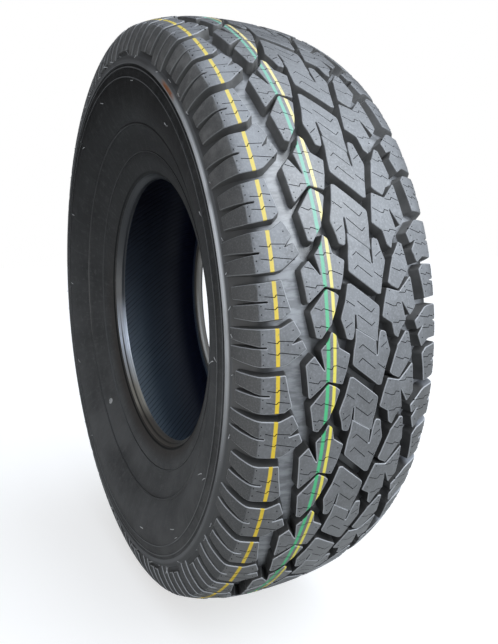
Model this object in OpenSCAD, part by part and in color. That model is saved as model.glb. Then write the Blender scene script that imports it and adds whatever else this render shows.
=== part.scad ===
// All-terrain car tyre, loose and standing upright on its tread.
// Lengths are in millimetres. The tyre spins about the Y axis, Z is up and
// the origin is the middle of the tyre.

/* [Overall size] */
// Radius of the tread at the middle of its width
tread_r = 387.5; // [360:0.5:420]
// Width across the two sidewalls at their widest
section_w = 240; // [225:1:260]
// Width of the running surface
tread_w = 205; // [195:1:215]
// Radius of the bead heels, where they sit against the rim
bead_r = 188; // [180:0.5:200]
// Distance between the two bead heels while the tyre is off its rim
bead_gap = 153; // [140:1:175]
// Width of each bead base, from heel to toe
bead_base_w = 15; // [12:0.5:18]

/* [Tread] */
// Depth of the grooves
groove_depth = 13; // [9:0.5:15]
// Rubber and belts left under the grooves
under_tread = 10; // [8:0.5:16]
// Number of times the block pattern repeats around the tyre
pitches = 25; // [24:1:26]
// Width of the cut that splits each shoulder lug
lug_cut_w = 1.8; // [1:0.1:3]
// How much wider that cut is where it meets the rib
lug_cut_spread = 4.6; // [3:0.2:6]
// How far the outer edge of the tread falls below its middle
crown_drop = 18; // [12:0.5:22]

/* [Sidewall] */
// Thickness of the sidewall at its widest
wall_t = 10; // [8:0.5:14]
// Height of the moulded rings that stand on each sidewall
ring_h = 1.2; // [0.6:0.1:2]
// Depth the flat contact patch takes out of the tread
patch_sink = 2; // [1.5:0.1:2.5]

/* [Hidden] */
$fn = 120;
rubber = [0.14, 0.14, 0.15];

half_w = section_w / 2;
edge_a = tread_w / 2;
edge_r = tread_r - crown_drop;
heel_a = bead_gap / 2;
toe_a = heel_a - bead_base_w;
toe_r = bead_r - 7;
// The rib that closes the shoulder lugs, the fine ring beside it and the ring below
rib_r = tread_r * 0.843;
fine_r = rib_r - 10.5;
ring_r = tread_r * 0.787;
// The two fine rings of the lower sidewall
mid_r = tread_r * 0.644;
low_r = tread_r * 0.541;
// The flank leans in from the widest point to the bead
mid_a = heel_a + (half_w - heel_a) * 0.5;
low_a = heel_a + (half_w - heel_a) * 0.2;
// Rubber shared by the tread blocks and the body under them
bury = 3;

// Fall of the crown at a given distance from its middle
function drop(a) = crown_drop * (0.49 * pow(a / edge_a, 2) + 0.51 * pow(a / edge_a, 4));
function crown(a) = tread_r - drop(a);
// A profile is kept as one half, [distance from the middle, radius], read outward
function back(h) = [for (i = [len(h) - 1 : -1 : 0]) h[i]];
function other(h) = [for (q = h) [-q[0], q[1]]];
function lower(h, d) = [for (q = h) [q[0], q[1] - d]];

crown_half = [for (k = [0.22, 0.48, 0.72, 0.88, 1]) [edge_a * k, crown(edge_a * k)]];
// The shoulder lugs run down into the rib
shoulder_half = [
  [edge_a + (half_w - edge_a) * 0.38, edge_r - (edge_r - rib_r) * 0.18],
  [half_w - 5, edge_r - (edge_r - rib_r) * 0.6],
  [half_w - 3.2, rib_r - 1]
];
// Floor of the grooves, from near the middle out to the foot of the rib
ditch_half = [
  [edge_a * 0.48, crown(edge_a * 0.48) - groove_depth],
  [edge_a * 0.82, crown(edge_a * 0.82) - groove_depth],
  [edge_a, edge_r - groove_depth * 1.1],
  [half_w - 9, edge_r - (edge_r - rib_r) * 0.72],
  [half_w - 5, rib_r + 4]
];
// Lean of the flank, [radius, distance from the middle]
flank_line = [
  [fine_r + 6, half_w - 2.2], [ring_r, half_w - ring_h], [ring_r - 24, half_w - 5],
  [mid_r + 14, half_w - 13], [mid_r, mid_a], [low_r, low_a], [bead_r + 8, heel_a + 1]
];
function flank(r) = lookup(r, flank_line);
// A moulded ring is a low ridge with slanted sides
function ring(r) = [
  [flank(r + 2.6), r + 2.6], [flank(r) + ring_h, r + 1], [flank(r) + ring_h, r - 1],
  [flank(r - 2.6), r - 2.6]
];
flank_half = concat(
  [
    [half_w - 1.6, rib_r + 1.5],
    [half_w - 0.6, rib_r - 1],
    [half_w - 0.6, fine_r + 5.5],
    [flank(fine_r + 4), fine_r + 4]
  ],
  ring(fine_r),
  ring(ring_r),
  [[flank(ring_r - 24), ring_r - 24], [flank(mid_r + 14), mid_r + 14]],
  ring(mid_r),
  ring(low_r),
  [
    [heel_a + 1, bead_r + 8],
    [heel_a, bead_r + 1.5],
    [heel_a - 1.5, bead_r],
    [toe_a + 5, toe_r],
    [toe_a + 1, toe_r],
    [toe_a, toe_r + 1]
  ]
);
liner_half = [
  [toe_a + 1, bead_r + 12],
  [low_a - 12, low_r + 6],
  [mid_a - wall_t - 0.5, mid_r],
  [half_w - wall_t - 11, mid_r + 20],
  [half_w - wall_t - 1, ring_r - 16],
  [half_w - wall_t, ring_r + 4],
  [half_w - wall_t - 3, rib_r + 2],
  [edge_a - 3, edge_r - groove_depth - under_tread - 6],
  [edge_a * 0.8, crown(edge_a * 0.8) - groove_depth - under_tread],
  [edge_a * 0.4, crown(edge_a * 0.4) - groove_depth - under_tread]
];

// Length of each pitch in turn, in shares. Uneven pitches keep the tread from humming.
pitch_mix = [
  88, 91, 105, 101, 92, 88, 90, 97, 103, 99, 92, 88, 89,
  96, 104, 100, 93, 88, 92, 98, 103, 97, 103, 114, 102
];
function share(i) = pitch_mix[i % len(pitch_mix)];
function share_to(i) = i == 0 ? 0 : share(i - 1) + share_to(i - 1);
pitch_table = [for (i = [-1 : pitches + 1]) [i, (i < 0 ? -share(pitches - 1) :
  i > pitches ? share_to(pitches) + share(0) : share_to(i)) * 360 / share_to(pitches)]];
// Turn of a point of the pattern, in degrees from the front of the tyre downward
first_turn = -14.4;
function turn(p) = first_turn + lookup(p, pitch_table);
// The pattern is the same when it is spun half a turn about this phase
mid_phase = -0.122;
function flip(o) = [for (q = o) [-q[0], 2 * mid_phase - q[1], q[2]]];

// Block outlines as [distance from the middle of a 205 mm tread, phase of one pitch].
// Long shoulder lug with the notch in its inner end
long_lug = [
  [-119, -0.367], [-110.5, -0.289], [-104, -0.277], [-88.5, -0.277], [-76.8, -0.345],
  [-70.6, -0.21], [-78.9, -0.1], [-69.2, -0.14], [-65, -0.036], [-83, 0.114], [-104, 0.13],
  [-110.5, 0.115], [-119, 0.04]
];
// Short shoulder lug, which stops before the rib
short_lug = [
  [-115.8, 0.178], [-110.5, 0.222], [-104, 0.234], [-84.4, 0.22], [-81.5, 0.388],
  [-77.9, 0.55], [-84.5, 0.626], [-104, 0.638], [-110.5, 0.628], [-115.8, 0.585]
];
// Middle lines of the slots that split the two lugs. The third number of a point is
// how far the slot has opened there, and one side of the slot stays straight.
long_slot = [[-100, -0.073, 0], [-106, -0.075, 0.06], [-112.9, -0.088, 0.46], [-119, -0.112, 1.3]];
short_slot = [[-97.5, 0.441, 0], [-106, 0.44, 0.05], [-112.9, 0.427, 0.53], [-119, 0.41, 1.3]];
// Upper block of the row beside the shoulder, with its tapered slot
upper_block = [
  [-66.4, 0.132], [-57.8, 0.04], [-47.6, 0.203], [-46.9, 0.2], [-51.4, -0.012], [-43.5, -0.105],
  [-39.6, -0.193], [-34.8, -0.156], [-31.7, -0.02], [-19.7, 0.06],
  [-27.6, 0.373], [-43.7, 0.325], [-62.3, 0.49]
];
// Lower block of the same row
lower_block = [
  [-60.6, 0.577], [-43.4, 0.352], [-33.6, 0.39], [-29.7, 0.432],
  [-38.9, 0.71], [-50.5, 0.872], [-55.5, 0.854]
];
// Half of the middle row, with the slit beside its hanging lobe
middle_block = [
  [-19.4, -0.691], [-15.3, -0.688], [9.4, -0.487], [16.4, -0.42], [13.5, -0.168], [12.9, -0.035],
  [-11.3, -0.199], [-11.9, -0.352], [-13.3, -0.352], [-14.2, -0.18], [-16.2, -0.095],
  [-23.4, -0.1], [-29.2, -0.33], [-23.8, -0.497]
];

// Stretches an outline from the 205 mm tread to the tread that is asked for
function spread(a) = a * edge_a / 102.5;

// Turns a closed profile about the axle
module turned(h) {
  rotate([90, 0, 0])
    rotate_extrude()
      polygon([for (q = h) [q[1], q[0]]]);
}

// Section of the tread from the running surface down into the body
module tread_section() {
  top = concat(crown_half, shoulder_half);
  base = lower(ditch_half, bury);
  polygon(concat(other(back(top)), top, back(base), other(base)));
}

// Width of a lug's slot at one of its points
function slot_w(q) = lug_cut_w + q[2] * lug_cut_spread;

// Place of a point of the pattern on a plane square to the tyre at turn c
function across(i, q, c) = -tread_r * sin(turn(i + q[1]) - c);

// A block standing on the tyre, square to it at the middle of the block. Its
// flat top splits the difference with the round of the tread.
module stand(o, i) {
  low = min([for (q = o) q[1]]);
  high = max([for (q = o) q[1]]);
  c = turn(i + (low + high) / 2);
  half_turn = (turn(i + high) - turn(i + low)) / 2;
  rotate([0, 90 + c, 0])
    intersection() {
      linear_extrude(tread_r + 5)
        polygon([for (q = o) [across(i, q, c), spread(q[0])]]);
      rotate([90, 0, 90])
        linear_extrude(160, center = true)
          translate([0, -tread_r * (1 - cos(half_turn)) / 2])
            tread_section();
    }
}

module lug_cut(l, i) {
  c = turn(i + l[0][1]);
  rotate([0, 90 + c, 0])
    translate([0, 0, rib_r + 8])
      linear_extrude(80)
        polygon(concat(
          [for (q = l) [across(i, q, c) - slot_w(q) / 2, spread(q[0])]],
          [for (q = back(l)) [across(i, q, c) + slot_w(q) / 2, spread(q[0])]]
        ));
}

module blocks() {
  for (i = [0 : pitches - 1]) {
    difference() {
      for (o = [long_lug, short_lug, flip(long_lug), flip(short_lug)]) stand(o, i);
      for (l = [long_slot, short_slot, flip(long_slot), flip(short_slot)]) lug_cut(l, i);
    }
    for (o = [upper_block, lower_block, middle_block]) {
      stand(o, i);
      stand(flip(o), i);
    }
  }
}

module body() {
  half = concat(ditch_half, flank_half, liner_half);
  turned(concat(half, other(back(half))));
}

module tyre() {
  color(rubber)
    difference() {
      union() {
        body();
        blocks();
      }
      translate([-200, -200, -tread_r - 50 + patch_sink])
        cube([400, 400, 50]);
    }
}

tyre();
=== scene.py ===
import math
import random

import bpy
from mathutils import Matrix, Vector
from mathutils.geometry import delaunay_2d_cdt


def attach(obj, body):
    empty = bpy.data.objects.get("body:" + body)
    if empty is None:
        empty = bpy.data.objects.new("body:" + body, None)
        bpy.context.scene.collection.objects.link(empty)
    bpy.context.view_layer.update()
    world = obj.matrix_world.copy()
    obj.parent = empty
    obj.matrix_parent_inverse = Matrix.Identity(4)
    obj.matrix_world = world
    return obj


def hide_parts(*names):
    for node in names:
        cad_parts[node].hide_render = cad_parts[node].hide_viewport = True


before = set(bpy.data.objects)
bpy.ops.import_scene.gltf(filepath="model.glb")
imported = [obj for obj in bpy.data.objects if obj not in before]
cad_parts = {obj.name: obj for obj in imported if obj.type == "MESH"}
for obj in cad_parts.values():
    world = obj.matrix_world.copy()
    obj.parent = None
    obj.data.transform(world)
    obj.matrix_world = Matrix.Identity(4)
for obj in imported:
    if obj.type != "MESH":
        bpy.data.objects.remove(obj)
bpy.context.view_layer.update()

MM = 0.001

# Radius of the tread at the middle of its width
TREAD_R = 387.5
# The running surface keeps a hair inside the solid, whose tops are flat across each block
RUN_R = 387.36
# Half the width of the running surface, and how far its edge falls below its middle
EDGE = 102.5
CROWN_DROP = 18.0
# Shares of that fall that grow with the square and with the fourth power of the way out
SQUARE_SHARE, FOURTH_SHARE = 0.49, 0.51
# Depth of the grooves
GROOVE = 13.0
# Height of the flat patch that the tyre stands on
PATCH_Z = -385.5


def crown(a):
    """Radius of the running surface at a place along the axle."""
    k = (a / EDGE) ** 2
    return RUN_R - CROWN_DROP * (SQUARE_SHARE * k + FOURTH_SHARE * k * k)


def interpolate(table, x):
    """Values of a table's columns at x, which runs along its first column."""
    if x <= table[0][0]:
        return table[0][1:]
    for lo, hi in zip(table, table[1:]):
        if x <= hi[0]:
            k = (x - lo[0]) / (hi[0] - lo[0])
            return [p + (q - p) * k for p, q in zip(lo[1:], hi[1:])]
    return table[-1][1:]


# Shoulder as (place along the axle, radius), from the running surface down to the rib
SHOULDER = [
    (104.4, 368.5), (107.0, 365.2), (109.4, 360.6), (112.4, 352.6), (115.1, 343.6),
    (116.2, 335.5), (116.7, 328.6),
]
# Running surface and shoulder as (way out, place along the axle, radius). On the running
# surface the way out is the place along the axle, and on the shoulder it follows the slope.
SURFACE = [(float(a), float(a), crown(a)) for a in range(0, 102, 6)]
SURFACE.append((EDGE, EDGE, crown(EDGE)))
for a, r in SHOULDER:
    way, a0, r0 = SURFACE[-1]
    SURFACE.append((way + math.hypot(a - a0, r - r0), a, r))
RIB_END = SURFACE[-1][0]
# Reach to each side over which the slope of the surface is taken
SLOPE_REACH = 2.5


def surface(u):
    """Point on the running surface and the direction out of it, for a signed way u."""
    side = -1.0 if u < 0 else 1.0
    w = abs(u)
    a, r = interpolate(SURFACE, w)
    a1, r1 = interpolate(SURFACE, min(w + SLOPE_REACH, RIB_END))
    a0, r0 = interpolate(SURFACE, abs(w - SLOPE_REACH))
    if w < SLOPE_REACH:
        a0 = -a0
    da, dr = a1 - a0, r1 - r0
    size = math.hypot(da, dr)
    return side * a, r, side * -dr / size, da / size


# Depth of the grooves at each way out
DEPTH = [
    (0, GROOVE), (92, GROOVE), (EDGE, 12.6), (111, 9.0), (122, 6.6), (133, 5.0), (141, 3.0),
    (RIB_END, 1.4),
]


def depth(u):
    """Depth of the grooves at a signed way out."""
    return interpolate(DEPTH, abs(u))[0]


# Lengths of the pitches of the pattern in turn, in shares of one round
PITCH_MIX = [
    88, 91, 105, 101, 92, 88, 90, 97, 103, 99, 92, 88, 89, 96, 104, 100, 93, 88, 92, 98, 103,
    97, 103, 114, 102,
]
PITCHES = len(PITCH_MIX)
# Degrees from the front of the tyre to the first pitch
FIRST_TURN = -14.4
# Phase about which the pattern is the same after half a turn
MID_PHASE = -0.122
PITCH_STARTS = [0]
for share in PITCH_MIX:
    PITCH_STARTS.append(PITCH_STARTS[-1] + share)


def turn(p):
    """Degrees from the front of the tyre downward, for a point of the pattern."""
    rounds, rest = divmod(p, PITCHES)
    i = int(rest)
    way = PITCH_STARTS[i] + PITCH_MIX[i] * (rest - i)
    return FIRST_TURN + 360.0 * (rounds + way / PITCH_STARTS[-1])


def arc(p):
    """Way along the tread at its full radius, in millimetres."""
    return math.radians(turn(p)) * TREAD_R


def place(u, v, deep=0.0):
    """Point at way u, arc v and a depth below the running surface, in metres."""
    a, r, na, nr = surface(u)
    a -= na * deep
    r -= nr * deep
    t = v / TREAD_R
    return Vector((r * math.cos(t) * MM, a * MM, max(-r * math.sin(t), PATCH_Z) * MM))


# Outlines as (way out, phase of one pitch). The lugs run down the shoulder to the rib, and
# each is split by a slot that opens toward it.
E = RIB_END
LONG_LUG = [
    (-E, -0.292), (-124, -0.283), (-108, -0.277), (-88.5, -0.277), (-77, -0.35), (-75.8, -0.336),
    (-70.6, -0.22), (-70.2, -0.203), (-78.9, -0.1), (-69.2, -0.14), (-65, -0.036), (-83, 0.114),
    (-88.6, 0.13), (-104, 0.135), (-112, 0.132), (-124, 0.115), (-E, 0.085), (-E, -0.072),
    (-124, -0.068), (-112, -0.064), (-100, -0.064), (-100, -0.082), (-108, -0.084),
    (-124, -0.112), (-E, -0.15),
]
# The short lug stops before the rib
SHORT_END = E - 8.5
SHORT_LUG = [
    (-SHORT_END, 0.222), (-124, 0.228), (-108, 0.234), (-102.4, 0.234), (-84.4, 0.218),
    (-81.5, 0.388), (-78.2, 0.535), (-77.9, 0.563), (-84.5, 0.626), (-102.4, 0.642), (-112, 0.64),
    (-124, 0.622), (-SHORT_END, 0.6), (-SHORT_END, 0.45), (-124, 0.45), (-112, 0.45),
    (-97.5, 0.45), (-97.5, 0.432), (-108, 0.43), (-124, 0.402), (-SHORT_END, 0.375),
]
UPPER_BLOCK = [
    (-66.4, 0.132), (-57.8, 0.04), (-47.6, 0.203), (-46.9, 0.2), (-51.4, -0.012), (-43.5, -0.105),
    (-40.2, -0.193), (-38.8, -0.19), (-34.8, -0.156), (-31.7, -0.02), (-19.7, 0.06),
    (-23.1, 0.224), (-27.6, 0.373), (-43.7, 0.325), (-61.3, 0.49), (-62.7, 0.472),
]
LOWER_BLOCK = [
    (-60.6, 0.577), (-44.6, 0.37), (-42.4, 0.35), (-33.6, 0.397), (-29.7, 0.432), (-35.6, 0.62),
    (-38.9, 0.7), (-38.9, 0.725), (-41.8, 0.753), (-50.5, 0.872), (-55.5, 0.854),
]
MIDDLE_BLOCK = [
    (-19.4, -0.691), (-15.3, -0.688), (9.4, -0.487), (15.9, -0.43), (16.6, -0.408),
    (15.4, -0.267), (13.5, -0.168), (12.9, -0.035), (-11.3, -0.199), (-11.9, -0.352),
    (-13.3, -0.352), (-14.2, -0.18), (-16.2, -0.095), (-18.4, -0.085), (-23.4, -0.105),
    (-25.6, -0.203), (-29.2, -0.318), (-28.3, -0.36), (-23.8, -0.497),
]
# Fine cuts in the top of each block, as lines of the same kind of points
SIPES = {
    "long": [
        [(-99.6, -0.138), (-91.4, -0.118), (-89.9, -0.143), (-77.4, -0.13)],
        [(-99.6, -0.016), (-91.1, 0.005), (-89.3, -0.018), (-70.5, 0.019)],
    ],
    "short": [
        [(-99.9, 0.381), (-91.4, 0.397), (-90.2, 0.372), (-82.6, 0.39)],
        [(-100.5, 0.508), (-91.8, 0.525), (-89.9, 0.5), (-80.2, 0.517)],
    ],
    "upper": [
        [(-62.4, 0.104), (-53.2, 0.138)],
        [(-44.9, 0.183), (-39.9, 0.199), (-38, 0.164), (-34.9, 0.164), (-24.3, 0.212)],
        [(-50.4, -0.017), (-41.8, -0.005), (-40.2, -0.027), (-33.2, -0.016)],
        [(-63.2, 0.307), (-53.6, 0.334), (-51.8, 0.305), (-43.6, 0.312)],
    ],
    "lower": [
        [(-56.4, 0.537), (-49.3, 0.57), (-47, 0.553), (-36.6, 0.596)],
        [(-57.0, 0.736), (-52, 0.75), (-50.5, 0.731), (-43.4, 0.757)],
    ],
    "middle": [
        [(-10.3, -0.5), (5.6, -0.365), (10, -0.405)],
        [(-10.3, -0.35), (5.6, -0.22), (10, -0.255)],
        [(-24.6, -0.222), (-17.0, -0.274)],
        [(-22.8, -0.518), (-13.1, -0.444)],
    ],
}
BLOCKS = {
    "long": LONG_LUG, "short": SHORT_LUG, "upper": UPPER_BLOCK, "lower": LOWER_BLOCK,
    "middle": MIDDLE_BLOCK,
}
# Small marks that the vents of the mould leave
DOTS = [
    (-103.3, -0.22), (-103.3, -0.119), (-103.3, -0.002), (-103.3, 0.104), (-77.4, -0.25),
    (-82.3, -0.098), (-72, -0.058), (-77, 0.04), (-103.3, 0.359), (-103.3, 0.57), (-103.3, 0.48),
    (-103.3, 0.27), (-86.4, 0.299), (-83.9, 0.447), (-82.3, 0.578), (-61.8, 0.263), (-59.6, 0.44),
    (-51.8, 0.372), (-60.2, 0.39), (-46.8, -0.073), (-30.3, 0.337), (-25.9, 0.083),
    (-53.6, 0.783), (-51.8, 0.835), (-7.5, -0.23), (3.8, -0.45), (-20.6, -0.154), (-24.4, -0.3),
    (-21.6, -0.49),
]


def flip(points):
    """The pattern is the same after half a turn about the middle phase."""
    return [(-u, 2 * MID_PHASE - p) for u, p in points]


class Mesh:
    """Vertices and faces of one piece, each face with the number of its material."""

    def __init__(self):
        self.points, self.faces, self.kinds = [], [], []

    def add(self, points):
        start = len(self.points)
        self.points.extend(points)
        return list(range(start, len(self.points)))

    def face(self, ring, kind):
        self.faces.append(ring)
        self.kinds.append(kind)

    def strip(self, lower, upper, kind):
        """Closed band between two rings of the same length."""
        n = len(lower)
        for i in range(n):
            j = (i + 1) % n
            self.face((lower[i], lower[j], upper[j], upper[i]), kind)

    def make(self, name, materials, smooth_angle):
        data = bpy.data.meshes.new(name)
        data.from_pydata([tuple(p) for p in self.points], [], self.faces)
        for m in materials:
            data.materials.append(m)
        data.polygons.foreach_set("material_index", self.kinds)
        data.validate()
        data.shade_smooth()
        data.set_sharp_from_angle(angle=math.radians(smooth_angle))
        piece = bpy.data.objects.new(name, data)
        bpy.context.collection.objects.link(piece)
        return piece


def circle(steps):
    """Cosine and sine at equal steps of one turn."""
    turns = [2 * math.pi * k / steps for k in range(steps)]
    return [(math.cos(t), math.sin(t)) for t in turns]


def signed_area(ring):
    """Area inside a flat ring, above 0 where it runs anticlockwise."""
    return sum(p.x * q.y - q.x * p.y for p, q in zip(ring, ring[1:] + ring[:1])) / 2


def inside(point, ring):
    """Whether a point lies inside a flat ring."""
    hit = False
    for p, q in zip(ring, ring[1:] + ring[:1]):
        if (p.y > point.y) == (q.y > point.y):
            continue
        if point.x < (q.x - p.x) * (point.y - p.y) / (q.y - p.y) + p.x:
            hit = not hit
    return hit


# Summed normals shorter than this mean that a ring turns back on itself
TURN_BACK = 0.2
# Least share of a mitre's reach, so that sharp corners stay short
MITRE, CUT_MITRE = 0.6, 0.5


def shrink(ring, width):
    """Moves an anticlockwise ring inward by width, or outward where it is negative."""
    moved = []
    for i, p in enumerate(ring):
        d0 = (p - ring[i - 1]).normalized()
        d1 = (ring[(i + 1) % len(ring)] - p).normalized()
        n0, n1 = Vector((-d0.y, d0.x)), Vector((-d1.y, d1.x))
        m = n0 + n1
        if m.length < TURN_BACK:
            moved.append(p + n0 * width)
            continue
        m.normalize()
        moved.append(p + m * (width / max(m.dot(n0), MITRE)))
    return moved


# Corners next to a side shorter than this, or flatter than this angle, are left as they are
SHORT_SIDE = 0.5
FLAT_CORNER = math.radians(160)
# Most of a side that the trim of one corner may take
TRIM_SHARE = 0.3


def rounded(ring, cut, step):
    """Trims each sharp corner of a ring and divides its long sides."""
    trimmed = []
    for i, p in enumerate(ring):
        before, after = ring[i - 1] - p, ring[(i + 1) % len(ring)] - p
        short = min(before.length, after.length) < SHORT_SIDE
        if short or abs(before.angle_signed(after)) > FLAT_CORNER:
            trimmed.append(p)
            continue
        for side in (before, after):
            trimmed.append(p + side.normalized() * min(cut, side.length * TRIM_SHARE))
    divided = []
    for p, q in zip(trimmed, trimmed[1:] + trimmed[:1]):
        parts = max(1, math.ceil((q - p).length / step))
        divided.extend(p.lerp(q, k / parts) for k in range(parts))
    return divided


def cut_ring(line, width):
    """Thin closed ring round an open line."""
    left, right = [], []
    for i, p in enumerate(line):
        before = (p - line[i - 1]).normalized() if i else None
        after = (line[i + 1] - p).normalized() if i + 1 < len(line) else None
        way = ((before or after) + (after or before)).normalized()
        side = Vector((-way.y, way.x)) * (width / 2 / max(CUT_MITRE, way.dot(after or before)))
        left.append(p + side)
        right.append(p - side)
    return left + right[::-1]


# Materials of the tread, by number
TOP, WALL, SLIT, RIM = range(4)
# Width and depth of the fine cuts
SIPE_W, SIPE_D = 0.75, 1.6
# Trim of a block's corners, and the longest piece of its outline
CORNER, SIDE_STEP = 0.8, 6.0
# How far a block's walls lean out at the foot, and how deep the foot is sunk in the floor
DRAFT, SUNK = 2.1, 3.0
# Width of the bevel round the top, the depths where it starts and bends, and how far in it bends
BEVEL = 0.8
WAIST_DEPTH, BEND_DEPTH = 0.9, 0.22
BEND_SHARE = 0.42
# Spacing of the points inside a top, and how far they keep from its rim and its cuts
GRID, CLEAR = 11.0, 2.0
# Ways out at which more points carry the turn of the shoulder
SHOULDER_TURN = (EDGE + 0.1, EDGE + 3.0, EDGE + 7.5)
# Distance under which two points are one, and the tolerance of the triangles
SAME_POINT, TOLERANCE = 1e-4, 1e-5


def distance_to_line(q, line):
    """Distance from a point to the nearest part of an open line."""
    near = math.inf
    for a, b in zip(line, line[1:]):
        way = b - a
        k = min(1.0, max(0.0, (q - a).dot(way) / max(way.length_squared, 1e-9)))
        near = min(near, (q - a.lerp(b, k)).length)
    return near


def points_inside(rim, cuts):
    """Points inside a top, so that it follows the round of the tyre."""
    xs, ys = [p.x for p in rim], [p.y for p in rim]
    columns = [min(xs) + GRID * (k + 0.5) for k in range(int((max(xs) - min(xs)) / GRID))]
    columns += [s * w for s in (-1, 1) for w in SHOULDER_TURN if min(xs) < s * w < max(xs)]
    rows = [min(ys) + GRID * (k + 0.5) for k in range(int((max(ys) - min(ys)) / GRID))]
    found = []
    for q in (Vector((x, y)) for x in columns for y in rows):
        if not inside(q, rim):
            continue
        near = [(q - p).length for p in rim] + [distance_to_line(q, ring) for ring in cuts]
        if min(near) > CLEAR:
            found.append(q)
    return found


def add_top(mesh, rim, cuts, top):
    """Top of a block, open at its cuts. Its outline uses the vertices that top lists."""
    points, edges = [], []
    for ring in [rim] + cuts:
        start, n = len(points), len(ring)
        points.extend(ring)
        edges.extend((start + i, start + (i + 1) % n) for i in range(n))
    points.extend(points_inside(rim, cuts))
    out, _, triangles, _, _, _ = delaunay_2d_cdt(points, edges, [], 0, TOLERANCE)
    upper = mesh.add([place(p.x, p.y) for p in out])
    for k, p in enumerate(out):
        for i, q in enumerate(rim):
            if (p - q).length < SAME_POINT:
                upper[k] = top[i]
                break
    for tri in triangles:
        middle = sum((out[k] for k in tri), Vector((0, 0))) / 3
        if not inside(middle, rim) or any(inside(middle, ring) for ring in cuts):
            continue
        face = [upper[k] for k in tri]
        if (out[tri[1]] - out[tri[0]]).cross(out[tri[2]] - out[tri[0]]) < 0:
            face.reverse()
        mesh.face(tuple(face), TOP)


def add_cut(mesh, ring):
    """Walls and floor of a fine cut."""
    ring = ring if signed_area(ring) > 0 else ring[::-1]
    lip = mesh.add([place(p.x, p.y) for p in ring])
    sole = mesh.add([place(p.x, p.y, SIPE_D) for p in ring])
    mesh.strip(lip, sole, SLIT)
    for i in range(len(ring) // 2 - 1):
        mesh.face((sole[i], sole[i + 1], sole[-2 - i], sole[-1 - i]), SLIT)


def add_block(mesh, outline, sipes, pitch):
    """One tread block or lug, closed above and sunk into the floor of the grooves."""
    flat = [Vector((u, arc(pitch + p))) for u, p in outline]
    if signed_area(flat) < 0:
        flat.reverse()
    base = rounded(flat, CORNER, SIDE_STEP)
    rim = shrink(base, BEVEL)
    foot = mesh.add([place(p.x, p.y, depth(p.x) + SUNK) for p in shrink(base, -DRAFT)])
    waist = mesh.add([place(p.x, p.y, WAIST_DEPTH) for p in base])
    bend = mesh.add([place(p.x, p.y, BEND_DEPTH) for p in shrink(base, BEVEL * BEND_SHARE)])
    top = mesh.add([place(p.x, p.y) for p in rim])
    mesh.strip(foot, waist, WALL)
    mesh.strip(waist, bend, RIM)
    mesh.strip(bend, top, RIM)
    mesh.face(tuple(reversed(foot)), WALL)
    cuts = [cut_ring([Vector((u, arc(pitch + p))) for u, p in line], SIPE_W) for line in sipes]
    add_top(mesh, rim, cuts, top)
    for ring in cuts:
        add_cut(mesh, ring)


# Radii of a stub's foot and crest
NUB_R, NUB_CREST_R = 0.7, 0.49
# How far a stub stands out of the top and is sunk in it, and the least height worth making
NUB_HIGH, NUB_SUNK, NUB_LEAST = 0.25, 0.3, 0.1


def add_nub(mesh, u, v):
    """Small dark stub that a vent of the mould leaves on a top."""
    high = min(NUB_HIGH, RUN_R - surface(u)[1])
    if high < NUB_LEAST:
        return
    foot, crest = [
        mesh.add([place(u + size * c, v + size * s, -lift) for c, s in circle(6)])
        for size, lift in ((NUB_R, -NUB_SUNK), (NUB_CREST_R, high))
    ]
    mesh.strip(foot, crest, SLIT)
    mesh.face(tuple(crest), SLIT)
    mesh.face(tuple(reversed(foot)), SLIT)


def turned_mesh(mesh, profile, kinds, steps):
    """Turns a closed profile of (place along the axle, radius) about the axle."""
    rings = [
        mesh.add([
            Vector((r * c * MM, a * MM, max(-r * s, PATCH_Z) * MM)) for c, s in circle(steps)
        ])
        for a, r in profile
    ]
    for i, ring in enumerate(rings):
        after = rings[(i + 1) % len(rings)]
        for k in range(steps):
            m = (k + 1) % steps
            mesh.face((ring[k], after[k], after[m], ring[m]), kinds[i])


# Places of the two colours among the inputs of a Mix node, and of its colour output
FIRST, SECOND, MIXED = 6, 7, 2


class Sock:
    """A socket in a node tree. An expression on it adds its Math nodes."""

    def __init__(self, tree, value):
        self.tree, self.value = tree, value

    def node(self, kind, settings=None, values=None, output=0):
        made = self.tree.nodes.new(kind)
        for key, value in (settings or {}).items():
            setattr(made, key, value)
        for key, value in (values or {}).items():
            if isinstance(value, Sock):
                self.tree.links.new(value.value, made.inputs[key])
            else:
                made.inputs[key].default_value = value
        return Sock(self.tree, made.outputs[output])

    def maths(self, operation, *terms, clamp=False):
        settings = {"operation": operation, "use_clamp": clamp}
        return self.node("ShaderNodeMath", settings, dict(enumerate(terms)))

    def __add__(self, other):
        return self.maths("ADD", self, other)

    __radd__ = __add__

    def __sub__(self, other):
        return self.maths("SUBTRACT", self, other)

    def __rsub__(self, other):
        return self.maths("SUBTRACT", other, self)

    def __mul__(self, other):
        return self.maths("MULTIPLY", self, other)

    __rmul__ = __mul__

    def __truediv__(self, other):
        return self.maths("DIVIDE", self, other)

    def __abs__(self):
        return self.maths("ABSOLUTE", self)

    def below(self, limit, soft):
        """1 where the value is below the limit, fading to 0 over a soft width."""
        return self.maths("ADD", (limit - self) / soft, 0.5, clamp=True)

    def around(self, middle, reach, soft):
        """1 within a reach of the middle, fading to 0 over a soft width."""
        return abs(self - middle).below(reach, soft)

    def between(self, low, high):
        """0 at low and under, 1 at high and over, smooth between."""
        return self.node(
            "ShaderNodeMapRange",
            {"interpolation_type": "SMOOTHSTEP"},
            {"Value": self, "From Min": low, "From Max": high},
        )


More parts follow.
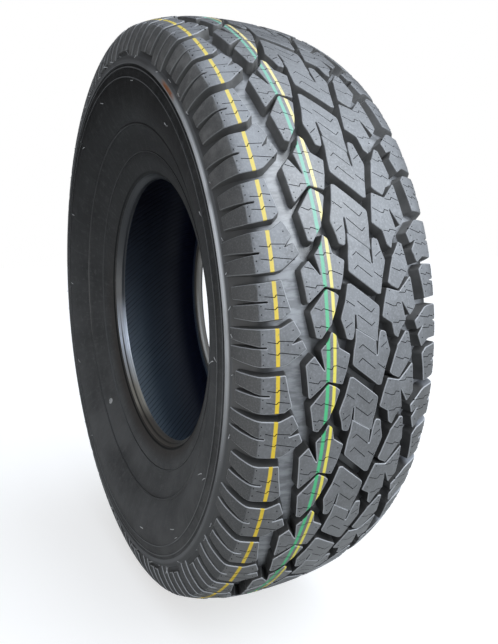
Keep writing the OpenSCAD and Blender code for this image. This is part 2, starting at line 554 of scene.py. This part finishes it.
class Finish:
    """A material with one principled shader, and the values that its expressions start from."""

    def __init__(self, name, colour, rough, specular=0.5):
        self.material = bpy.data.materials.new(name)
        self.material.use_nodes = True
        tree = self.material.node_tree
        self.tree = tree
        self.shader = tree.nodes["Principled BSDF"]
        self.shader.inputs["Base Color"].default_value = (*colour, 1.0)
        self.shader.inputs["Roughness"].default_value = rough
        self.shader.inputs["Specular IOR Level"].default_value = specular
        self.start = Sock(tree, None)
        self.spot = self.start.node("ShaderNodeTexCoord", output="Object")
        apart = tree.nodes.new("ShaderNodeSeparateXYZ")
        tree.links.new(self.spot.value, apart.inputs[0])
        self.x, self.y, self.z = (Sock(tree, apart.outputs[k]) for k in range(3))

    def radius(self):
        return self.start.maths("SQRT", self.x * self.x + self.z * self.z)

    def angle(self):
        return self.start.maths("ARCTAN2", self.z, self.x)

    def noise(self, scale, detail=3.0, rough=0.55, at=None):
        return self.start.node(
            "ShaderNodeTexNoise", None,
            {"Vector": at or self.spot, "Scale": scale, "Detail": detail, "Roughness": rough},
        )

    def spread(self, x, y, z):
        return self.start.node("ShaderNodeCombineXYZ", None, {0: x, 1: y, 2: z})

    def mix(self, factor, first, second):
        """Colour between two colours, each a tuple or a socket."""
        values = {"Factor": factor}
        for key, colour in ((FIRST, first), (SECOND, second)):
            values[key] = colour if isinstance(colour, Sock) else (*colour, 1.0)
        return self.start.node("ShaderNodeMix", {"data_type": "RGBA"}, values, output=MIXED)

    def feed(self, name, value):
        self.tree.links.new(value.value, self.shader.inputs[name])

    def bump(self, height, distance, strength):
        self.feed("Normal", self.start.node(
            "ShaderNodeBump", None, {"Height": height, "Distance": distance, "Strength": strength},
        ))


def grey(level, blue=0.0):
    """Grey of one level, or a little bluer."""
    return (level * (1 - blue * 0.5), level, level * (1 + blue))


# Where the tops turn down over the shoulder, and how far that line wavers
TURN_Y, WAVER = 0.1040, 0.0012
# Painted stripes: place across the tread, width, colour, and the paler colour near the top, a
# painted sheen
STRIPES = [
    (-0.0911, 0.0034, (0.87, 0.60, 0.02), (0.86, 0.67, 0.13)),
    (-0.0438, 0.0036, (0.07, 0.55, 0.22), (0.20, 0.50, 0.37)),
    (-0.0368, 0.0034, (0.90, 0.77, 0.09), (0.88, 0.74, 0.32)),
]
# Middle of the grooves beside the shoulder blocks
LANE_Y = 0.074
# Crest of the rib, and the radius and angle of its rusty stain
CREST_R = 0.3236
STAIN_R, STAIN_TURN = 0.3255, 0.949
# Radius and angle of the paint mark, squares of its half sizes, and its colour
MARK_R, MARK_TURN = 0.2385, -2.365
MARK_R_SIZE, MARK_TURN_SIZE = 0.0000185, 0.00034
MARK_COLOUR = (0.5, 0.5, 0.49)
# Fine turned band under the rib, the dark line above the heel, and the crease of the bead
TURNED_R, HEEL_LINE_R, CREASE_R = 0.3115, 0.1902, 0.1842
# Direction from the axle to where the painted reflection on the bead is palest
BEAD_REFLECTION_X, BEAD_REFLECTION_Z = -0.766, -0.643


def tread_top(name, lift):
    """Running faces: satin and slightly blue, with the painted stripes, painted sheen and painted
    shade. Lift pales the bevels as a painted highlight.
    """
    f = Finish(name, grey(0.15, 0.06), 0.42, 1.0)
    f.shader.inputs["Coat Roughness"].default_value = 0.3
    cloud = f.noise(22.0, 4.0)
    patches = f.noise(70.0, 4.0, 0.65)
    fine = f.noise(420.0, 2.0)
    grain = f.noise(650.0, 3.0, 0.7)
    waver = (f.noise(40.0, 2.0) - 0.5) * WAVER
    face = (abs(f.y) + waver).between(TURN_Y, TURN_Y + 0.0014)
    colour = f.mix(cloud.between(0.3, 0.7), grey(0.12, 0.04), grey(0.18, 0.05))
    colour = f.mix(patches.between(0.5, 0.72) * 0.55, colour, grey(0.27, 0.05))
    colour = f.mix(fine.between(0.45, 0.75) * 0.5, colour, grey(0.32, 0.04))
    colour = f.mix(grain.between(0.42, 0.3) * 0.6, colour, grey(0.07, 0.04))
    # Painted sheen: the near shoulder blocks are coloured paler toward the top of the tyre
    bright = f.y.around(-0.088, 0.012, 0.012) * f.z.between(0.03, 0.16)
    colour = f.mix(bright * 0.45, colour, grey(0.34, 0.08))
    # Pebbled faces of the lugs, paler toward the top of the tyre
    side = f.mix(cloud.between(0.3, 0.7), grey(0.040), grey(0.058))
    pale = f.mix(patches.between(0.4, 0.7), (0.084, 0.083, 0.081), (0.17, 0.167, 0.162))
    side = f.mix(f.z.between(0.08, 0.26), side, pale)
    side = f.mix(grain.between(0.42, 0.8) * 0.6, side, grey(0.18))
    # Painted shade: the tops are coloured darker toward both shoulders and low down
    far = f.y.between(0.070, 0.088) * f.z.below(0.01, 0.16) * 0.85
    near = f.y.below(-0.078, 0.02) * f.z.below(-0.13, 0.2) * 0.55
    colour = f.mix(far.maths("MAXIMUM", far, near), colour, side)
    colour = f.mix(f.z.below(-0.06, 0.3) * 0.42, colour, (0.092, 0.083, 0.072))
    colour = f.mix(face, colour, side)
    # Painted highlight: the bevels are coloured pale, fading toward the top of the tyre
    if lift:
        colour = f.mix(lift * f.z.below(0.05, 0.2) + 0.12, colour, grey(0.6, 0.03))
    wave = (f.noise(60.0, 2.0) - 0.5) * 0.0009
    worn = f.noise(160.0, 4.0).between(0.22, 0.36)
    dull = face
    for middle, width, paint, paint_with_sheen in STRIPES:
        stripe = (f.y + wave).around(middle, width / 2, 0.0004) * worn
        # Near the top of the tyre each stripe takes its paler colour, a painted sheen
        colour = f.mix(stripe, colour, f.mix(f.z.between(-0.02, 0.16), paint, paint_with_sheen))
        dull = dull + stripe
    f.feed("Base Color", colour)
    f.feed("Roughness", 0.34 + 0.18 * cloud + 0.14 * face)
    f.feed("Coat Weight", 0.8 - 0.8 * dull)
    f.bump(fine * 0.9 + f.noise(90.0, 3.0) + grain * face, 0.0006, 0.45)
    return f.material


def groove_wall():
    """Walls of the blocks, with painted light and shade: dark low on the tyre and paler toward its
    top.
    """
    f = Finish("groove_wall", grey(0.13), 0.45)
    cloud = f.noise(40.0).between(0.3, 0.7)
    # Painted light and shade: darker low on the tyre and paler toward its top
    lower = f.mix(cloud, (0.036, 0.035, 0.034), (0.062, 0.060, 0.058))
    upper = f.mix(cloud, (0.15, 0.147, 0.142), (0.24, 0.235, 0.228))
    colour = f.mix(f.z.between(-0.12, 0.24), lower, upper)
    colour = f.mix(f.y.below(-0.093, 0.015), colour, (0.085, 0.084, 0.082))
    # Painted light: the walls on the far side low on the tyre are coloured pale blue-grey
    far = f.y.between(0.083, 0.093) * f.z.below(-0.03, 0.08)
    f.feed("Base Color", f.mix(far, colour, grey(0.3, 0.08)))
    f.bump(f.noise(300.0), 0.0004, 0.4)
    return f.material


def slit():
    """Fine cuts and stubs: nearly black."""
    return Finish("slit", grey(0.012), 0.8, 0.1).material


def groove_floor():
    """Floors of the grooves: smooth from the mould and glossier than the tops, with a painted
    reflection beside the shoulder blocks.
    """
    f = Finish("groove_floor", grey(0.15, 0.03), 0.25, 1.0)
    f.shader.inputs["Coat Roughness"].default_value = 0.2
    cloud = f.noise(30.0, 3.0)
    streaks = f.noise(1.0, 3.0, 0.6, f.spread(f.x * 160.0, f.y * 30.0, f.z * 160.0))
    colour = f.mix(cloud.between(0.3, 0.7), grey(0.03, 0.03), grey(0.055, 0.03))
    # Painted reflection: a pale streaky band along the grooves beside the shoulder blocks
    lane = abs(f.y).around(LANE_Y, 0.017, 0.008)
    painted_reflection = lane * (0.45 + 0.55 * streaks.between(0.35, 0.65))
    colour = f.mix(painted_reflection, colour, grey(0.36, 0.04))
    outer = abs(f.y).between(0.09, 0.1)
    f.feed("Base Color", f.mix(outer, colour, grey(0.05)))
    f.feed("Coat Weight", (1.0 - outer) * (0.3 + 0.5 * lane))
    f.feed("Roughness", 0.22 + 0.16 * cloud + 0.3 * outer)
    f.bump(f.noise(70.0, 2.0), 0.0008, 0.35)
    return f.material


def rib():
    """Rib under the lugs and the crests of the rings, coloured paler than the flank as a painted
    highlight, most of all at the front.
    """
    f = Finish("rib", grey(0.2, 0.05), 0.3, 0.9)
    cloud = f.noise(25.0, 3.0)
    r, t = f.radius(), f.angle()
    front = t.around(0.38, 0.42, 0.75)
    # Painted highlight along the crest of the rib, palest at the front
    painted_crest_highlight = front * r.around(CREST_R, 0.0044, 0.0025) * cloud.between(0.1, 0.5)
    outer = r.between(0.3245, 0.327)
    stain = t.around(STAIN_TURN, 0.052, 0.04) * r.around(STAIN_R, 0.0022, 0.001)
    stain = stain * f.y.below(-0.05, 0.01) * f.noise(160.0, 3.0).between(0.3, 0.5)
    colour = f.mix(cloud.between(0.3, 0.7), grey(0.085, 0.02), grey(0.13, 0.02))
    # Painted light: the rib is coloured paler toward the front of the tyre
    colour = f.mix(front * 0.5 * r.between(0.3175, 0.319), colour, grey(0.2, 0.02))
    colour = f.mix(outer * (1.0 - 0.5 * front), colour, grey(0.055))
    colour = f.mix(r.below(0.27, 0.01), colour, grey(0.024))
    colour = f.mix(painted_crest_highlight, colour, grey(0.85, 0.03))
    f.feed("Base Color", f.mix(stain, colour, (0.3, 0.11, 0.04)))
    f.feed("Roughness", 0.26 + 0.2 * cloud)
    return f.material


def flank():
    """Sidewalls: black with fine turned lines and faint streaks, with painted shade at the top and
    painted light low down.
    """
    f = Finish("flank", grey(0.022), 0.5, 0.18)
    r, t = f.radius(), f.angle()
    rings = f.noise(1.0, 3.0, 0.6, f.spread(r * 900.0, t * 9.0, f.y * 20.0))
    streaks = f.noise(1.0, 4.0, 0.6, f.spread(r * 30.0, t * 46.0, f.y * 10.0))
    specks = f.noise(700.0, 2.0, 0.8).between(0.66, 0.78)
    # Painted shade and light: nearly black at the top, grey low down, where scuffs and lines show
    # more
    painted_lower_light = f.z.below(0.04, 0.5)
    colour = f.mix(painted_lower_light, grey(0.009), grey(0.112))
    colour = f.mix(f.noise(9.0, 4.0).between(0.3, 0.7) * 0.6, colour, grey(0.024))
    broad = f.noise(26.0, 6.0, 0.7).between(0.48, 0.7)
    colour = f.mix(broad * 0.45, colour, grey(0.045))
    scuffs = f.noise(120.0, 5.0, 0.75).between(0.5, 0.72)
    colour = f.mix(scuffs * (0.2 + 0.5 * painted_lower_light), colour, grey(0.12))
    lines = streaks.between(0.5, 0.8) * 0.5 + rings.between(0.55, 0.8) * 0.4
    colour = f.mix(lines * (0.3 + 0.6 * painted_lower_light), colour, grey(0.13))
    colour = f.mix(specks * 0.6, colour, grey(0.2))
    heel = r.below(0.202, 0.012) * f.z.below(0.02, 0.2)
    colour = f.mix(heel * 0.7, colour, (0.052, 0.044, 0.038))
    colour = f.mix(r.around(HEEL_LINE_R, 0.0012, 0.0012), colour, grey(0.006))
    off_r, off_t = r - MARK_R, t - MARK_TURN
    spot = off_r * off_r / MARK_R_SIZE + off_t * off_t / MARK_TURN_SIZE
    mark = spot.below(1.0, 0.5) * f.y.below(-0.05, 0.01) * f.noise(300.0).between(0.25, 0.5)
    f.feed("Base Color", f.mix(mark, colour, MARK_COLOUR))
    f.feed("Roughness", 0.42 + 0.14 * rings)
    band = r.around(TURNED_R, 0.0045, 0.001)
    f.bump(rings * (1.0 + 1.5 * band) + streaks * 0.5, 0.0006, 0.3)
    return f.material


def bead():
    """Bead base: a pale painted reflection on one side, dull brown low down, with fine turned
    lines.
    """
    f = Finish("bead", grey(0.2, 0.06), 0.3, 0.9)
    r, t = f.radius(), f.angle()
    lines = f.noise(1.0, 2.0, 0.5, f.spread(r * 2400.0, t * 1.5, f.y * 600.0))
    # Painted reflection: pale blue-grey on one side of the bead, dark grey elsewhere
    bead_reflection = ((f.x * BEAD_REFLECTION_X + f.z * BEAD_REFLECTION_Z) / r).between(0.74, 0.98)
    colour = f.mix(f.noise(20.0).between(0.3, 0.7), grey(0.5, 0.14), grey(0.8, 0.14))
    colour = f.mix(bead_reflection, grey(0.02, 0.2), colour)
    colour = f.mix(f.z.below(-0.105, 0.06), colour, (0.26, 0.24, 0.20))
    colour = f.mix(f.z.below(-0.164, 0.016), colour, (0.085, 0.075, 0.062))
    # Painted shade in the crease of the bead, low down
    crease = r.around(CREASE_R, 0.0007, 0.0007) * f.z.below(-0.04, 0.06)
    colour = f.mix(crease, colour, (0.012, 0.011, 0.010))
    # The far bead
    colour = f.mix(f.y.between(-0.01, 0.01), colour, (0.11, 0.10, 0.085))
    f.feed("Base Color", f.mix(lines.between(0.45, 0.7) * 0.5, colour, (0.06, 0.06, 0.06)))
    f.feed("Roughness", 0.24 + 0.16 * lines)
    f.bump(lines, 0.0005, 0.4)
    return f.material


def liner():
    """Inside: smooth, bluish, with the fine slanting ribs of the curing bag."""
    f = Finish("liner", (0.030, 0.038, 0.050), 0.4)
    ridge = f.start.maths("SINE", f.y * 550.0 + f.angle() * 243.0).between(0.55, 1.0)
    # Painted light: pale blue-grey low in the middle of the inside, dark navy higher up and toward
    # the far side
    lit = (f.z + 0.2 * f.x).below(-0.06, 0.3) * f.y.below(0.06, 0.08)
    colour = f.mix(lit, (0.009, 0.012, 0.045), (0.20, 0.27, 0.34))
    shade = ridge * (0.25 + 0.45 * f.noise(14.0).between(0.35, 0.65))
    f.feed("Base Color", f.mix(shade, colour, (0.010, 0.014, 0.030)))
    f.feed("Roughness", 0.32 + 0.2 * f.noise(30.0))
    f.bump(ridge, 0.0010, 0.5)
    return f.material


# Materials of the body, by number
FLOOR_K, RIB_K, FLANK_K, BEAD_K, LINER_K = range(5)
# Section of one half as (place along the axle, radius), from the floor of the grooves round
# the rib, the flank with its rings and the bead to the middle inside
SECTION = [
    (FLOOR_K, [
        (97.0, 359.6), (101.0, 356.8), (104.4, 352.4), (107.2, 346.8), (110.6, 339.8),
        (113.4, 334.2), (114.8, 331.8),
    ]),
    (RIB_K, [
        (115.4, 330.7), (116.4, 330.0), (117.6, 329.0), (118.6, 327.6), (119.2, 325.6),
        (119.35, 323.4), (119.2, 322.0),
    ]),
    (FLANK_K, [(118.7, 321.1), (117.7, 320.6), (117.3, 319.8), (117.4, 318.8), (117.6, 318.0)]),
    (RIB_K, [(118.7, 317.4), (118.9, 316.7)]),
    (FLANK_K, [(118.7, 316.0), (117.8, 315.5), (117.9, 312.0), (118.4, 308.4), (118.6, 306.3)]),
    (RIB_K, [(119.7, 305.7), (119.9, 305.0)]),
    (FLANK_K, [
        (119.7, 304.4), (118.5, 303.9), (118.4, 300.0), (117.6, 292.0), (115.4, 282.0),
        (112.0, 272.0), (107.6, 262.4), (103.4, 255.4), (101.2, 252.4),
    ]),
    (RIB_K, [(102.0, 250.8), (101.9, 250.0)]),
    (FLANK_K, [
        (100.8, 249.4), (98.5, 247.6), (95.6, 242.0), (91.6, 232.0), (88.0, 221.0),
        (86.9, 217.4),
    ]),
    (RIB_K, [(87.6, 216.9), (87.4, 216.1)]),
    (FLANK_K, [
        (86.2, 215.6), (85.9, 213.0), (84.4, 207.0), (81.2, 200.0), (78.6, 194.4),
        (77.2, 191.4), (76.4, 189.6), (75.4, 188.3),
    ]),
    (BEAD_K, [
        (74.0, 187.6), (70.5, 184.6), (67.2, 181.6), (66.2, 181.0), (62.6, 181.0),
        (61.7, 181.4), (61.4, 182.4),
    ]),
    (LINER_K, [
        (61.6, 190.0), (62.6, 199.0), (66.0, 208.0), (71.0, 217.0), (78.4, 232.0),
        (86.4, 247.0), (94.0, 261.0), (101.0, 275.0), (107.0, 291.0), (110.0, 305.0),
        (109.6, 317.0), (107.0, 328.4), (102.6, 335.6), (96.0, 342.0), (84.0, 349.8),
        (64.0, 356.4), (42.0, 361.2), (20.0, 363.8),
    ]),
]
# Steps of one round of the body
ROUND_STEPS = 360


def build_body():
    """Everything under the blocks, turned about the axle."""
    half = [(float(a), crown(a) - GROOVE, FLOOR_K) for a in range(8, 96, 8)]
    half += [(a, r, kind) for kind, points in SECTION for a, r in points]
    # A band takes its kind from the point nearer the groove floor
    kinds = [kind for _, _, kind in half]
    kinds += [half[max(i - 1, 0)][2] for i in reversed(range(len(half)))]
    profile = [(a, r) for a, r, _ in half] + [(-a, r) for a, r, _ in reversed(half)]
    mesh = Mesh()
    turned_mesh(mesh, profile, kinds, ROUND_STEPS)
    finishes = [groove_floor(), rib(), flank(), bead(), liner()]
    return mesh.make("tyre_body", finishes, smooth_angle=40)


def build_tread():
    """Blocks and lugs of every pitch, with their cuts and stubs."""
    mesh = Mesh()
    for i in range(PITCHES):
        for name, outline in BLOCKS.items():
            add_block(mesh, outline, SIPES[name], i)
            add_block(mesh, flip(outline), [flip(line) for line in SIPES[name]], i)
        for u, p in DOTS + flip(DOTS):
            add_nub(mesh, u, arc(i + p))
    finishes = [tread_top("tread_top", 0.0), groove_wall(), slit(), tread_top("tread_edge_highlight", 0.55)]
    return mesh.make("tyre_tread", finishes, smooth_angle=13)


# Share of its thickness that a whisker loses toward its tip
TAPER = 0.45


def add_rod(mesh, path, radius):
    """Thin rod along a few points, narrower toward its tip."""
    rings = []
    for i, p in enumerate(path):
        way = (path[min(i + 1, len(path) - 1)] - path[max(i - 1, 0)]).normalized()
        across = way.orthogonal().normalized()
        other = way.cross(across)
        size = radius * (1.0 - TAPER * i / (len(path) - 1))
        rings.append(mesh.add([p + (across * c + other * s) * size for c, s in circle(5)]))
    for lower, upper in zip(rings, rings[1:]):
        mesh.strip(lower, upper, 0)
    mesh.face(tuple(reversed(rings[0])), 0)
    mesh.face(tuple(rings[-1]), 0)


# Whiskers that the vents of the mould leave: radius, distance out and rise of each foot's row,
# how far the whisker reaches along the wall, and the degrees between neighbours
WHISKER_ROWS = [
    (330.6, 114.4, 4.8, 7.6, 5.2),
    (302.6, 117.8, 1.8, 7.0, 25.6),
    (291.4, 117.0, 2.6, 7.0, 25.6),
]
# Radius of a whisker in metres, and the points along it
WHISKER_R = 0.0006
WHISKER_POINTS = 5
# Degrees from the front of the tyre to the first whisker of a row
FIRST_WHISKER = 3.0
# Least height of a whisker over the ground, in metres
CLEAR_OF_GROUND = 0.001
# Shares of the places that have lost their whisker, and of the whiskers above LUG_R that lean
# the other way
LOST, TURNED_BACK = 0.25, 0.6
LUG_R = 320


def whisker_path(r, a, rise, t, lean, curl, length):
    """Points of a whisker whose foot is at radius r, place a along the axle and angle t."""
    path = []
    for j in range(WHISKER_POINTS):
        q = j / (WHISKER_POINTS - 1)
        way = lean + curl * q
        path.append(Vector((
            r * math.cos(t) + math.cos(way) * length * q,
            a + rise * q,
            -r * math.sin(t) + math.sin(way) * length * q,
        )) * MM)
    return path


def build_whiskers():
    """Whiskers on both sides, each with its own lean, curl and length."""
    draws = random.Random(7)
    mesh = Mesh()
    for side in (-1, 1):
        for r, a, rise, reach, apart in WHISKER_ROWS:
            for k in range(round(360 / apart)):
                if draws.random() < LOST:
                    continue
                shift = draws.uniform(-0.06, 0.06)
                t = math.radians(FIRST_WHISKER + k * apart + shift * apart)
                lean = math.pi + draws.uniform(-0.5, 0.5)
                if r > LUG_R and draws.random() < TURNED_BACK:
                    lean -= math.pi
                curl = draws.uniform(-0.7, 0.7)
                length = reach * draws.uniform(0.7, 1.0)
                path = whisker_path(r, side * a, side * rise, t, lean, curl, length)
                if min(q.z for q in path) > PATCH_Z * MM + CLEAR_OF_GROUND:
                    add_rod(mesh, path, WHISKER_R)
    pale = Finish("whisker", grey(0.6), 0.35)
    return mesh.make("tyre_whiskers", [pale.material], smooth_angle=60)


body = build_body()
tread = build_tread()
whiskers = build_whiskers()
for piece in (body, tread, whiskers):
    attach(piece, "root")
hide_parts("tyre")
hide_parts("tyre")
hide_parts("tyre")


# Studio: a pale floor that keeps the shadow, and a sky with one soft bright side
FLOOR_HALF = 6.0
CORNERS = ((-1, -1), (1, -1), (1, 1), (-1, 1))
WHITE = (1, 1, 1, 1)
SKY_DIM = (0.09, 0.09, 0.095, 1)
SKY_BRIGHT = (1.76, 1.92, 2.12, 1)
BRIGHT_SIDE = Vector((0.7, 0.3, 0.62)).normalized()


def by_camera(s, seen, lit):
    """Shader that the camera sees, beside the one that lights the tyre."""
    rays = s.node("ShaderNodeLightPath", output="Is Camera Ray")
    return s.node("ShaderNodeMixShader", None, {0: rays, 1: lit, 2: seen})


def build_floor():
    """Floor that the camera sees nearly white, with the shadow, and that lights the tyre less."""
    mesh = Mesh()
    ring = mesh.add([
        Vector((x * FLOOR_HALF, y * FLOOR_HALF, PATCH_Z * MM)) for x, y in CORNERS
    ])
    mesh.face(tuple(ring), 0)
    material = bpy.data.materials.new("studio_floor")
    material.use_nodes = True
    tree = material.node_tree
    tree.nodes.clear()
    s = Sock(tree, None)
    pale = s.node("ShaderNodeBsdfDiffuse", None, {"Color": (0.5, 0.5, 0.5, 1)})
    glow = s.node("ShaderNodeEmission", None, {"Color": WHITE, "Strength": 0.64})
    seen = s.node("ShaderNodeAddShader", None, {0: pale, 1: glow})
    lit = s.node("ShaderNodeBsdfDiffuse", None, {"Color": (0.42, 0.42, 0.41, 1)})
    out = tree.nodes.new("ShaderNodeOutputMaterial")
    tree.links.new(by_camera(s, seen, lit).value, out.inputs["Surface"])
    plane = mesh.make("studio_floor", [material], smooth_angle=30)


def build_world():
    """Sky that is bright toward one side, and plain white to the camera."""
    world = bpy.data.worlds.new("studio")
    bpy.context.scene.world = world
    world.use_nodes = True
    tree = world.node_tree
    tree.nodes.clear()
    s = Sock(tree, None)
    way = s.node("ShaderNodeTexCoord", output="Generated")
    facing, behind = [
        s.node("ShaderNodeVectorMath", {"operation": "DOT_PRODUCT"}, {0: way, 1: side}, "Value")
        for side in (BRIGHT_SIDE, (0, 1, 0))
    ]
    bright = facing.between(0.08, 0.95) * behind.between(-0.75, -0.1)
    values = {"Factor": bright, FIRST: SKY_DIM, SECOND: SKY_BRIGHT}
    sky = s.node("ShaderNodeMix", {"data_type": "RGBA"}, values, MIXED)
    lit = s.node("ShaderNodeBackground", None, {"Color": sky, "Strength": 1.0})
    white = s.node("ShaderNodeBackground", None, {"Color": WHITE, "Strength": 1.0})
    out = tree.nodes.new("ShaderNodeOutputWorld")
    tree.links.new(by_camera(s, white, lit).value, out.inputs["Surface"])


def add_lamp(name, spot, aim, size, power, colour=(1, 1, 1)):
    """Round panel lamp at a spot, turned toward its aim."""
    data = bpy.data.lights.new(name, "AREA")
    data.shape, data.size, data.energy, data.color = "DISK", size, power, colour
    lamp = bpy.data.objects.new(name, data)
    lamp.location = spot
    lamp.rotation_mode = "QUATERNION"
    lamp.rotation_quaternion = (Vector(aim) - Vector(spot)).to_track_quat("-Z", "Y")
    bpy.context.collection.objects.link(lamp)


# Camera, worked out from the circles and the tread pattern in the photograph. Its angles are
# in radians, and the middle of the tyre is given as the camera sees it, in radii of the tread.
CAMERA = {
    "yaw": -0.9895, "pitch": 0.1306, "roll": 0.0035,
    "right": -0.4310, "ahead": 2.4444, "up": -0.0233,
    "focus_px": 651.91, "centre_px": (320.0, 300.9),
}
FRAME_PX = (498, 644)


def build_camera():
    data = bpy.data.cameras.new("camera")
    camera = bpy.data.objects.new("camera", data)
    bpy.context.collection.objects.link(camera)
    turn_all = (
        Matrix.Rotation(CAMERA["roll"], 3, "Y")
        @ Matrix.Rotation(CAMERA["pitch"], 3, "X")
        @ Matrix.Rotation(CAMERA["yaw"], 3, "Z")
    )
    right, ahead, up = turn_all.row
    place_seen = Vector((CAMERA["right"], CAMERA["ahead"], CAMERA["up"]))
    spot = -(turn_all.transposed() @ place_seen) * TREAD_R * MM
    facing = Matrix((right, up, -ahead)).transposed().to_4x4()
    camera.matrix_world = Matrix.Translation(spot) @ facing
    wide, high = FRAME_PX
    data.sensor_width = 36.0
    data.lens = CAMERA["focus_px"] / max(wide, high) * data.sensor_width
    data.shift_x = (wide / 2 - CAMERA["centre_px"][0]) / max(wide, high)
    data.shift_y = (CAMERA["centre_px"][1] - high / 2) / max(wide, high)
    bpy.context.scene.camera = camera


build_floor()
build_world()
add_lamp("sky_panel", (2.4, 0.9, 2.2), (0, 0, 0), size=2.2, power=26, colour=(0.95, 0.98, 1.0))
add_lamp("low_panel", (0.3, -1.0, -0.2), (0.1, -0.12, -0.25), size=0.7, power=2.2)
build_camera()
bpy.context.scene.view_settings.view_transform = "Standard"
